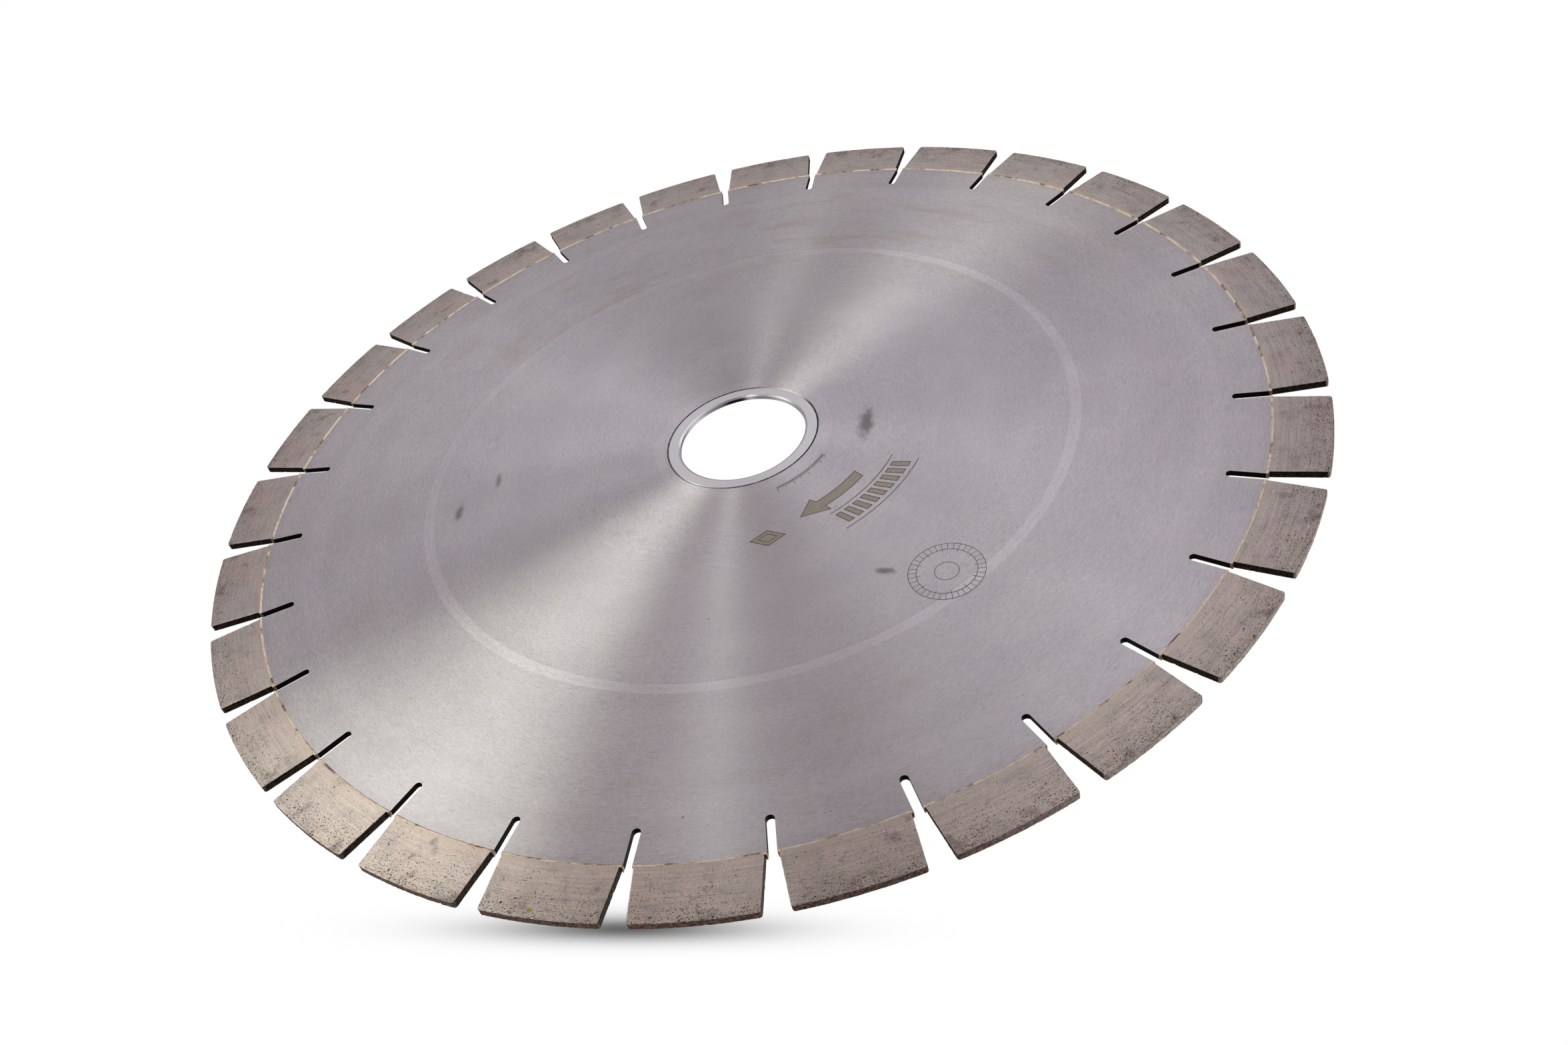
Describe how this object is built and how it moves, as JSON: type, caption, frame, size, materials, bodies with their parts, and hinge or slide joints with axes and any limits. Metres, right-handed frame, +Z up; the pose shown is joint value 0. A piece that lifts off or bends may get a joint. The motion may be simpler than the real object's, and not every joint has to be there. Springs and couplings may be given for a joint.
{
  "type": "segmented diamond saw blade",
  "caption": "Large segmented saw blade for cutting stone: slotted steel disc with brazed diamond segments around its rim and a removable reducer bush in the bore.",
  "frame": {"origin": "centre of the bore at half the core's thickness", "axes": "+Y along the blade's axis, from the marked front face to the back face; +Z up, through one of the cooling slots"},
  "size_m": [0.4298, 0.0028, 0.4298],
  "materials": {
    "brushed_core_steel": "brushed around the axis, cool grey",
    "diamond_matrix": "ground sintered metal with dark grit, warm grey-brown",
    "braze_filler": "pale gold filler, uneven",
    "turned_bush_steel": "fine turned, bright bluish silver"
  },
  "bodies": {
    "blade": {"steel_core": "brushed_core_steel", "diamond_segment_01": "diamond_matrix", "diamond_segment_02": "diamond_matrix", "diamond_segment_03": "diamond_matrix", "diamond_segment_04": "diamond_matrix", "diamond_segment_05": "diamond_matrix", "diamond_segment_06": "diamond_matrix", "diamond_segment_07": "diamond_matrix", "diamond_segment_08": "diamond_matrix", "diamond_segment_09": "diamond_matrix", "diamond_segment_10": "diamond_matrix", "diamond_segment_11": "diamond_matrix", "diamond_segment_12": "diamond_matrix", "diamond_segment_13": "diamond_matrix", "diamond_segment_14": "diamond_matrix", "diamond_segment_15": "diamond_matrix", "diamond_segment_16": "diamond_matrix", "diamond_segment_17": "diamond_matrix", "diamond_segment_18": "diamond_matrix", "diamond_segment_19": "diamond_matrix", "diamond_segment_20": "diamond_matrix", "diamond_segment_21": "diamond_matrix", "diamond_segment_22": "diamond_matrix", "diamond_segment_23": "diamond_matrix", "diamond_segment_24": "diamond_matrix", "diamond_segment_25": "diamond_matrix", "diamond_segment_26": "diamond_matrix", "diamond_segment_27": "diamond_matrix", "diamond_segment_28": "diamond_matrix", "braze_joint_01": "braze_filler", "braze_joint_02": "braze_filler", "braze_joint_03": "braze_filler", "braze_joint_04": "braze_filler", "braze_joint_05": "braze_filler", "braze_joint_06": "braze_filler", "braze_joint_07": "braze_filler", "braze_joint_08": "braze_filler", "braze_joint_09": "braze_filler", "braze_joint_10": "braze_filler", "braze_joint_11": "braze_filler", "braze_joint_12": "braze_filler", "braze_joint_13": "braze_filler", "braze_joint_14": "braze_filler", "braze_joint_15": "braze_filler", "braze_joint_16": "braze_filler", "braze_joint_17": "braze_filler", "braze_joint_18": "braze_filler", "braze_joint_19": "braze_filler", "braze_joint_20": "braze_filler", "braze_joint_21": "braze_filler", "braze_joint_22": "braze_filler", "braze_joint_23": "braze_filler", "braze_joint_24": "braze_filler", "braze_joint_25": "braze_filler", "braze_joint_26": "braze_filler", "braze_joint_27": "braze_filler", "braze_joint_28": "braze_filler"},
    "bush": {"reducer_bush": "turned_bush_steel"}
  },
  "joints": [
    {"name": "bush_slide", "type": "slide", "parent": "blade", "child": "bush", "axis": [0, -1, 0], "range_m": [-0.008, 0.008]}
  ]
}
